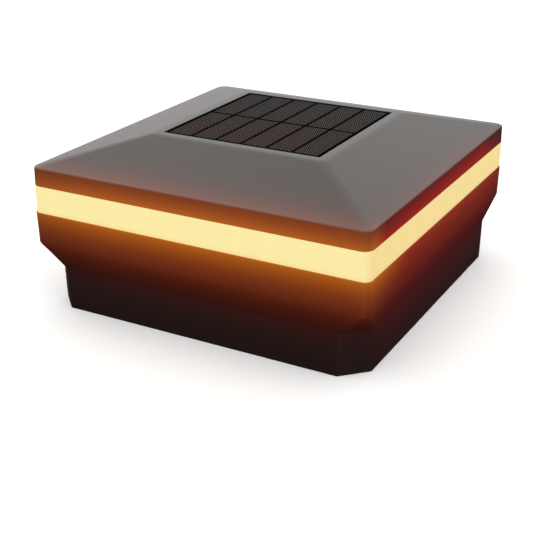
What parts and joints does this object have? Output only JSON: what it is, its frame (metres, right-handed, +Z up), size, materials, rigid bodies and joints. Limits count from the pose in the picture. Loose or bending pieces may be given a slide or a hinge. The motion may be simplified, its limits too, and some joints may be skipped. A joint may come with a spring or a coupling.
{
  "type": "deck post cap light",
  "caption": "Square hipped cap light for a deck post: solar panel in its flat top, glowing band all round, and a skirt that slips over the post.",
  "frame": {"origin": "middle of the square outlined by the skirt's lower edge, at the height of that edge", "axes": "+Z up out of the solar panel; -Y the front, the face towards the left in the picture; +X to the right seen from the front"},
  "size_m": [0.138, 0.138, 0.0654],
  "materials": {
    "cover_plastic": "satin moulded ABS, fine texture, dark taupe grey",
    "base_plastic": "satin moulded ABS, fine texture, brown black",
    "opal_band": "opal acrylic, lit from behind, warm white",
    "gasket_rubber": "black silicone rubber",
    "foam_tape": "grey foam tape",
    "panel_board": "black lacquered glass-fibre board",
    "solar_silicon": "dark brown black silicon with a fine pattern",
    "panel_clear": "clear matt laminate",
    "reflector_white": "white moulded polycarbonate",
    "led_board_white": "white lacquered board",
    "led_phosphor": "warm white phosphor",
    "flex_copper": "amber flexible circuit",
    "circuit_green": "green lacquered glass-fibre board",
    "chip_black": "black moulded epoxy",
    "choke_ferrite": "dark grey ferrite and wound wire",
    "capacitor_sleeve": "dark blue sleeve",
    "socket_nylon": "natural nylon",
    "switch_case": "pressed steel case",
    "switch_knob": "white acetal",
    "battery_can": "metal can in a blue sleeve",
    "contact_nickel": "nickel-plated spring steel",
    "screw_steel": "zinc-plated steel",
    "lead_red": "PVC-insulated twin wire",
    "lead_white": "PVC-insulated twin wire"
  },
  "bodies": {
    "housing": {"top_cover": "cover_plastic", "light_diffuser": "opal_band", "base_housing": "base_plastic", "cover_gasket": "gasket_rubber", "base_gasket": "gasket_rubber", "panel_pad": "foam_tape", "panel_backing": "panel_board", "panel_sheet": "panel_clear", "solar_cell_1": "solar_silicon", "solar_cell_2": "solar_silicon", "solar_cell_3": "solar_silicon", "solar_cell_4": "solar_silicon", "solar_cell_5": "solar_silicon", "solar_cell_6": "solar_silicon", "solar_cell_7": "solar_silicon", "solar_cell_8": "solar_silicon", "solar_cell_9": "solar_silicon", "solar_cell_10": "solar_silicon", "solar_cell_11": "solar_silicon", "solar_cell_12": "solar_silicon", "reflector": "reflector_white", "led_board_front": "led_board_white", "led_board_right": "led_board_white", "led_board_back": "led_board_white", "led_board_left": "led_board_white", "leds_front": "led_phosphor", "leds_right": "led_phosphor", "leds_back": "led_phosphor", "leds_left": "led_phosphor", "led_links": "flex_copper", "control_board": "circuit_green", "charge_chip": "chip_black", "choke_coil": "choke_ferrite", "capacitor": "capacitor_sleeve", "lead_sockets": "socket_nylon", "switch_body": "switch_case", "battery_cell": "battery_can", "contact_plate": "contact_nickel", "contact_spring": "contact_nickel", "battery_door": "base_plastic", "door_gasket": "gasket_rubber", "door_screws": "screw_steel", "housing_screws": "screw_steel", "board_screws": "screw_steel", "panel_lead": "lead_red", "led_lead": "lead_white", "battery_leads": "lead_red"},
    "switch_knob": {"switch_slider": "switch_knob"}
  },
  "joints": [
    {"name": "switch_slide", "type": "slide", "parent": "housing", "child": "switch_knob", "axis": [1, 0, 0], "range_m": [0, 0.003]}
  ]
}
